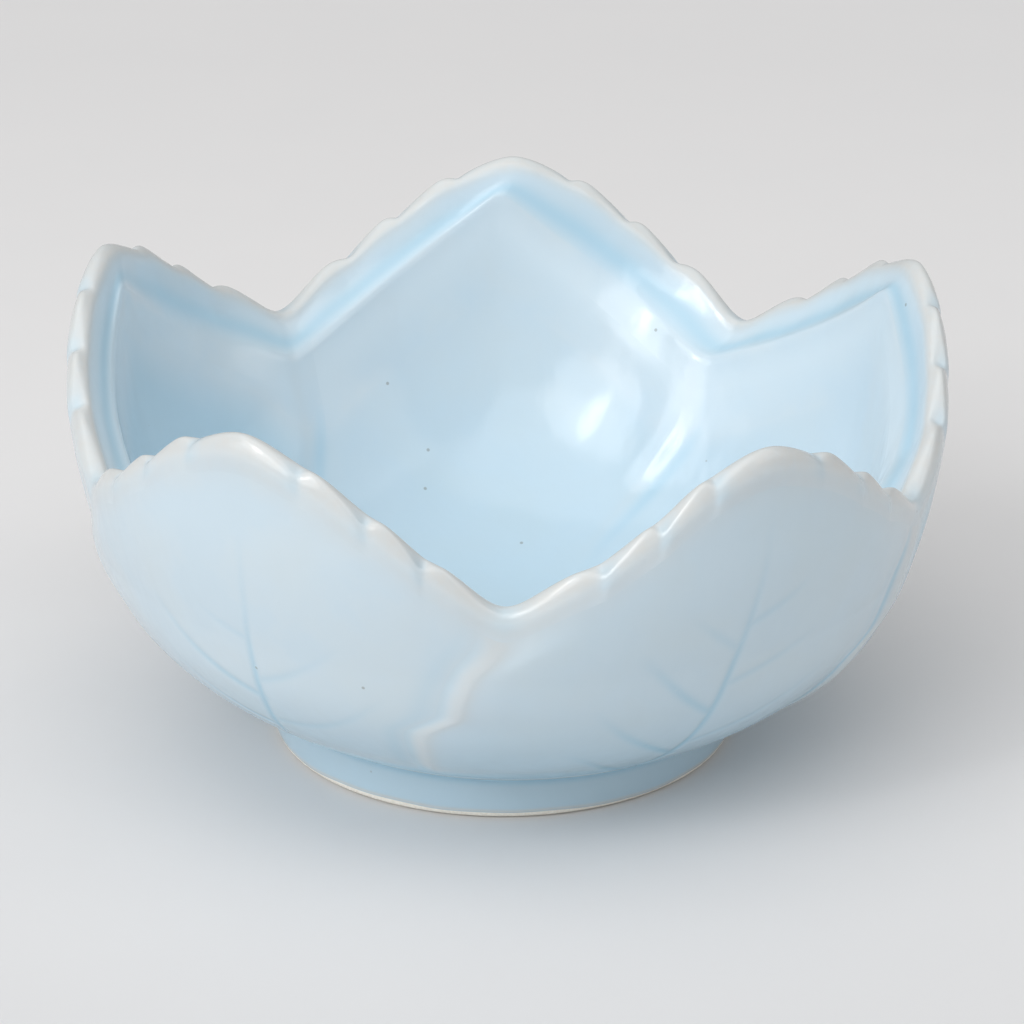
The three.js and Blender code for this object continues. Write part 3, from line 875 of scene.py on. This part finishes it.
class Nodes:
    """A small helper that adds shader nodes and links them."""

    def __init__(self, tree):
        self.tree = tree

    def add(self, kind, **settings):
        node = self.tree.nodes.new(kind)
        inputs = settings.pop("inputs", {})
        for key, value in settings.items():
            setattr(node, key, value)
        for key, value in inputs.items():
            if isinstance(value, bpy.types.NodeSocket):
                self.tree.links.new(value, node.inputs[key])
            else:
                node.inputs[key].default_value = value
        return node

    def math(self, operation, a, b=0.0, clamp=False):
        inputs = {0: a, 1: b}
        return self.add("ShaderNodeMath", operation=operation, use_clamp=clamp, inputs=inputs).outputs[0]

    def blend(self, factor, a, b):
        inputs = {0: factor, 6: a, 7: b}
        return self.add("ShaderNodeMix", data_type="RGBA", inputs=inputs).outputs[2]

    def noise(self, coordinates, scale, detail=2.0, roughness=0.5):
        inputs = {"Vector": coordinates, "Scale": scale, "Detail": detail, "Roughness": roughness}
        return self.add("ShaderNodeTexNoise", inputs=inputs).outputs["Fac"]

    def attribute(self, name):
        return self.add("ShaderNodeAttribute", attribute_name=name).outputs["Fac"]

    def span(self, value, low, high, to_low=0.0, to_high=1.0):
        """A value from low to high, brought to the range from to_low to to_high."""
        inputs = {0: value, 1: low, 2: high, 3: to_low, 4: to_high}
        return self.add("ShaderNodeMapRange", clamp=True, inputs=inputs).outputs[0]

    def bump(self, height, strength, distance, normal=None):
        """The normal of a surface with small heights, on top of an earlier normal where there is one."""
        inputs = {"Strength": strength, "Distance": distance, "Height": height}
        if normal is not None:
            inputs["Normal"] = normal
        return self.add("ShaderNodeBump", inputs=inputs).outputs[0]


def glaze_material(name):
    """Semi-opaque gloss glaze: bluer where it pools and where shade is painted, lighter where light is
    painted, paler over edges, with faint clouds and specks.
    """
    material = bpy.data.materials.new(name)
    material.use_nodes = True
    tree = material.node_tree
    nodes = Nodes(tree)
    shader = tree.nodes["Principled BSDF"]
    where = nodes.add("ShaderNodeTexCoord").outputs["Object"]
    clouds = nodes.noise(where, CLOUD_SCALE, 3.0)
    mottle = nodes.noise(where, MOTTLE_SCALE)
    grain = nodes.noise(where, GRAIN_SCALE, 3.0)
    bare = nodes.attribute("bare")

    colour = glaze_colour(nodes, clouds, mottle)
    colour = specked(nodes, where, colour)
    clay = nodes.blend(nodes.span(grain, 0.3, 0.7), BARE_CLAY, BARE_CLAY_SHADE)
    colour = nodes.blend(bare, colour, clay)
    tree.links.new(colour, shader.inputs["Base Color"])

    gloss = nodes.span(nodes.noise(where, GLOSS_SCALE), 0.3, 0.7, GLOSSY, LESS_GLOSSY)
    rough = nodes.math("ADD", gloss, nodes.math("MULTIPLY", bare, BARE_ROUGHNESS))
    tree.links.new(rough, shader.inputs["Roughness"])
    shader.inputs["IOR"].default_value = GLAZE_IOR

    down = nodes.add("ShaderNodeMapping", inputs={"Vector": where, "Scale": WAVE_STRETCH}).outputs[0]
    waves = nodes.math("ADD", nodes.noise(down, WAVE_SCALE), nodes.noise(where, SLOW_WAVE_SCALE, 1.0))
    swell = nodes.bump(waves, *SWELL)
    skin = nodes.bump(mottle, *SKIN, swell)
    tooth = nodes.bump(nodes.math("MULTIPLY", grain, bare), *TOOTH, skin)
    tree.links.new(tooth, shader.inputs["Normal"])
    return material


def glaze_colour(nodes, clouds, mottle):
    """The glaze's blue with its clouds: lighter where light is painted, deeper where it pools and where shade
    is painted, and thinner where the thin field says so.
    """
    pool_clouds = nodes.span(clouds, 0.35, 0.75, -0.05, 0.1)
    pool_and_painted_light = nodes.math("ADD", nodes.attribute("pool_and_painted_light"), pool_clouds, clamp=True)
    thin_mottle = nodes.span(mottle, 0.3, 0.7, 0.85, 1.0)
    thin = nodes.math("MULTIPLY", nodes.attribute("thin"), thin_mottle, clamp=True)
    # Where the pooled field is below 0, it paints light: the colour goes towards the lighter tone
    light = nodes.math("MULTIPLY", nodes.attribute("pool_and_painted_light"), -1.0, clamp=True)
    colour = nodes.blend(nodes.span(clouds, 0.4, 0.7), GLAZE, GLAZE_CLOUD)
    colour = nodes.blend(light, colour, GLAZE_PAINTED_LIGHT)
    colour = nodes.blend(pool_and_painted_light, colour, GLAZE_POOL_AND_SHADE)
    return nodes.blend(thin, colour, GLAZE_THIN)


def specked(nodes, where, colour):
    """Small dark specks, where the surface cuts through the middle of a cell, in three cells of ten."""
    cells = nodes.add("ShaderNodeTexVoronoi", inputs={"Vector": where, "Scale": SPECK_SCALE})
    chance = nodes.add("ShaderNodeSeparateColor", inputs={0: cells.outputs["Color"]}).outputs[0]
    rare = nodes.span(chance, 0.3, 0.29)
    dot = nodes.span(cells.outputs["Distance"], SPECK_INNER, SPECK_OUTER, 1.0, 0.0)
    strength = nodes.math("MULTIPLY", nodes.math("MULTIPLY", rare, dot), SPECK_STRENGTH)
    return nodes.blend(strength, colour, SPECK)


def build_leaves(material):
    """All leaves, cut from one surface. Returns the rings of the well floor's top, with their normals."""
    angle = leaf_angles()
    sheets = {leaf: leaf_sheet(leaf, angle) for leaf in LEAVES}
    order = sorted(LEAVES, key=LEAVES.get)
    placed = {}
    for leaf, sheet in sheets.items():
        placed[leaf] = place(sheet[..., 0], sheet[..., 1], LEAVES[leaf] + sheet[..., 2])
    rows, columns = placed[order[0]].shape[:2]
    for leaf, after in zip(order, order[1:] + order[:1]):
        placed[leaf][:, -1] = placed[after][:, 0]
    whole = np.concatenate([placed[leaf][:, :-1] for leaf in order], 1)
    surface_rows = rows - JOINT_ROWS

    azimuth = np.concatenate([LEAVES[leaf] + sheets[leaf][surface_rows - 1, :-1, 2] for leaf in order])
    rings = np.array(FLOOR_RINGS) * FLOOR_UPPER_RADIUS
    floor = np.stack([place(radius, inner_height(radius) + 0 * azimuth, azimuth) for radius in rings])
    glazed = np.concatenate([whole[:surface_rows], floor], 0)
    normals = grid_normals(glazed)

    for i, leaf in enumerate(order):
        picked = (i * (columns - 1) + np.arange(columns)) % whole.shape[1]
        leaf_normals = np.zeros_like(placed[leaf])
        leaf_normals[:surface_rows] = normals[:surface_rows][:, picked]
        make_leaf(leaf, placed[leaf], leaf_normals, sheets[leaf][..., 3], sheets[leaf][..., 4], material)
    return glazed[surface_rows - 1:], normals[surface_rows - 1:], azimuth


def make_leaf(leaf, points, normals, pool_and_painted_light, thin, material):
    """One leaf as a closed piece: its strip of the surface, with a cap at each side."""
    rows, columns = points.shape[:2]
    apex = int(np.argmax(points[:, 0, 2]))
    count = rows * columns
    first_cap, first_faces = cap(points, 0, 1, apex, count)
    second_cap, second_faces = cap(points, columns - 1, -1, apex, count + len(first_cap))
    caps = np.concatenate([first_cap, second_cap])
    all_points = np.concatenate([points.reshape(-1, 3), caps])
    all_normals = np.concatenate([normals.reshape(-1, 3), np.zeros_like(caps)])
    faces = grid_faces(pool_and_painted_light - thin) + first_faces + second_faces
    pad = np.zeros(len(caps))
    fields = {"pool_and_painted_light": np.concatenate([pool_and_painted_light.ravel(), pad]), "thin": np.concatenate([thin.ravel(), pad])}
    make_piece("glazed_" + leaf, leaf, material, all_points, faces, all_normals, fields)


def build_floor(top, top_normals, azimuth, material):
    """The well floor: its glazed top meets the leaves, and its edge and underside close it below."""
    rows, columns = top.shape[:2]
    profile = [
        (FLOOR_UPPER_RADIUS - FLOOR_INSET, inner_height(FLOOR_UPPER_RADIUS) - 0.15),
        (FLOOR_LOWER_RADIUS - 2 * FLOOR_INSET - 0.4, SOLE_HEIGHT),
        (FOOT_INNER_RADIUS - 0.05, FOOT_HEIGHT - 0.1),
        (FOOT_INNER_RADIUS - 0.05, FLOOR_UNDERSIDE + 0.25),
    ]
    profile += [(radius, FLOOR_UNDERSIDE) for radius in UNDERSIDE_RADII]
    lower = []
    for radius, z in profile:
        lower.append(place(np.full_like(azimuth, radius), np.full_like(azimuth, z), azimuth))
    lower = np.stack(lower)
    grid = np.concatenate([top[::-1], lower], 0)
    centre_top = place(np.array(0.0), np.array(WELL_BOTTOM), np.array(0.0))
    centre_low = place(np.array(0.0), np.array(FLOOR_UNDERSIDE), np.array(0.0))
    points = np.concatenate([grid.reshape(-1, 3), centre_top[None], centre_low[None]])
    count = grid.shape[0] * columns
    last = count - columns
    faces = [(b, a, d, c) for a, b, c, d in ring_quads(grid.shape[0], columns)[:last]]
    for column in range(columns):
        after = (column + 1) % columns
        faces.append((column, after, count))
        faces.append((last + after, last + column, count + 1))
    upper_normals, lower_normals = top_normals[::-1].reshape(-1, 3), -grid_normals(lower).reshape(-1, 3)
    normals = np.concatenate([upper_normals, lower_normals, [[0, 0, 1]], [[0, 0, -1]]])
    pools = [np.full(rows * columns, FLOOR_TOP_POOL), np.full(len(lower_normals), FLOOR_LOW_POOL)]
    pools.append([FLOOR_TOP_POOL, FLOOR_LOW_POOL])
    fields = {"pool_and_painted_light": np.concatenate(pools), "thin": np.zeros(len(points))}
    make_piece("glazed_floor", "bowl_floor", material, points, faces, normals, fields)


def build_foot(material):
    """The foot ring: glazed down to a wavy line, bare below it, with a small fillet under the leaves, a
    deeper blue there: pooled glaze and painted shade.
    """
    azimuth = np.linspace(0, 360, FOOT_COLUMNS, endpoint=False)
    line = BARE_HEIGHT
    for height, number, phase in BARE_WAVES:
        line = line + height * np.sin(number * np.radians(azimuth) + phase)
    glaze_end = [(radius, line + above) for radius, above in GLAZE_END]
    rows = []
    for radius, z in FOOT_CORNER + glaze_end + FOOT_OUTSIDE + FOOT_INSIDE:
        rows.append(np.stack([np.full_like(azimuth, radius), np.broadcast_to(z, azimuth.shape)], -1))
    curve = rounded(np.stack(rows + rows[:1]), ROUNDINGS)[:-1]
    points = place(curve[..., 0], curve[..., 1], azimuth)
    normals = grid_normals(points, closed_rows=True)
    faces = ring_quads(len(points), FOOT_COLUMNS)
    z = curve[..., 1]
    bare = 1 - smooth(z, line - 0.1, line + 0.02)
    # Deeper blue on the fillet under the leaves: pooled glaze and painted shade
    pool_and_painted_light = RING_POOL + FILLET_POOL_AND_SHADE * smooth(z, *FILLET_HEIGHTS)
    thin = GLAZE_END_THIN * bell(z - line - 0.25, 0.25)
    fields = {"pool_and_painted_light": pool_and_painted_light.ravel(), "thin": thin.ravel(), "bare": bare.ravel()}
    points, normals = points.reshape(-1, 3), normals.reshape(-1, 3)
    make_piece("glazed_foot_ring", "foot_ring", material, points, faces, normals, fields)


def build_stage():
    """A plain pale floor with painted light: a little darker near the camera and far behind the bowl."""
    mesh = bpy.data.meshes.new("studio_floor")
    corners = [(-1, -1), (1, -1), (1, 1), (-1, 1)]
    points = [(x * STUDIO_SIZE, y * STUDIO_SIZE, STUDIO_LEVEL) for x, y in corners]
    mesh.from_pydata(points, [], [(0, 1, 2, 3)])
    floor = bpy.data.objects.new("studio_floor", mesh)
    bpy.context.scene.collection.objects.link(floor)
    material = bpy.data.materials.new("studio_grey")
    material.use_nodes = True
    nodes = Nodes(material.node_tree)
    shader = material.node_tree.nodes["Principled BSDF"]
    where = nodes.add("ShaderNodeTexCoord").outputs["Object"]
    back = nodes.add("ShaderNodeSeparateXYZ", inputs={0: where}).outputs[1]
    # Painted light: the floor's colour falls off towards the camera and far behind the bowl
    falloff_and_cloud = nodes.blend(nodes.span(back, FALLOFF_NEAR, FALLOFF_MIDDLE), FLOOR_NEAR, FLOOR_MIDDLE)
    falloff_and_cloud = nodes.blend(nodes.span(back, FALLOFF_MIDDLE, FALLOFF_FAR), falloff_and_cloud, FLOOR_FAR)
    falloff_and_cloud = nodes.blend(nodes.span(nodes.noise(where, 40), 0.3, 0.7, 0, 0.06), falloff_and_cloud, FLOOR_CLOUD)
    material.node_tree.links.new(falloff_and_cloud, shader.inputs["Base Color"])
    shader.inputs["Roughness"].default_value = 0.6
    shader.inputs["Specular IOR Level"].default_value = 0.2
    mesh.materials.append(material)


def build_world():
    world = bpy.data.worlds.new("studio")
    world.use_nodes = True
    bpy.context.scene.world = world
    background = world.node_tree.nodes["Background"]
    background.inputs["Color"].default_value = (1, 1, 1, 1)
    background.inputs["Strength"].default_value = WORLD_LIGHT


def aim(thing, target):
    direction = np.array(target) - np.array(thing.location)
    thing.rotation_euler = Vector(direction).to_track_quat("-Z", "Y").to_euler()


def softbox(name, azimuth, elevation, distance, width, height, power, shape="ELLIPSE", turn=0):
    """A soft lamp aimed at the bowl from a distance in metres, with its size in metres and power in watts."""
    light = bpy.data.lights.new(name, "AREA")
    light.shape = shape
    light.size = width
    light.size_y = height
    light.energy = power
    lamp = bpy.data.objects.new(name, light)
    a, e = math.radians(azimuth), math.radians(elevation)
    way = np.array([math.cos(a) * math.cos(e), math.sin(a) * math.cos(e), math.sin(e)])
    lamp.location = LAMP_TARGET + distance * way
    bpy.context.scene.collection.objects.link(lamp)
    aim(lamp, LAMP_TARGET)
    lamp.rotation_euler.rotate_axis("Z", math.radians(turn))


def build_lights():
    """A broad soft key from the front left with a bright middle, and fills above, below and on the right."""
    softbox("key_wide", 227, 32, 4.0, 3.4, 2.7, 55)
    softbox("key_core", 225, 34.5, 3.9, 1.5, 0.4, 12, turn=76)
    softbox("high_fill", 240, 60, 4.0, 5.6, 5.0, 57)
    softbox("top_fill", 270, 85, 4.0, 6.5, 6.5, 41)
    softbox("right_fill", 340, 35, 4.0, 2.8, 2.8, 24, shape="RECTANGLE")
    softbox("low_fill", 212, 14, 4.0, 2.6, 1.6, 12)


def build_camera():
    camera = bpy.data.cameras.new("camera")
    camera.lens = CAMERA_LENS
    camera.sensor_width = SENSOR
    camera.clip_start = 0.01
    seat = bpy.data.objects.new("camera", camera)
    e, a = math.radians(CAMERA_ELEVATION), math.radians(CAMERA_AZIMUTH)
    back = np.array([math.sin(a) * math.cos(e), -math.cos(a) * math.cos(e), math.sin(e)])
    target = np.array(CAMERA_TARGET) * MM
    seat.location = target + back * CAMERA_DISTANCE * MM
    bpy.context.scene.collection.objects.link(seat)
    aim(seat, target)
    bpy.context.scene.camera = seat


glaze = glaze_material("celadon_glaze")
floor_top, floor_normals, floor_azimuth = build_leaves(glaze)
build_floor(floor_top, floor_normals, floor_azimuth, glaze)
build_foot(glaze)
build_stage()
build_world()
build_lights()
build_camera()
bpy.context.scene.view_settings.view_transform = "Standard"

bpy.context.view_layer.update()
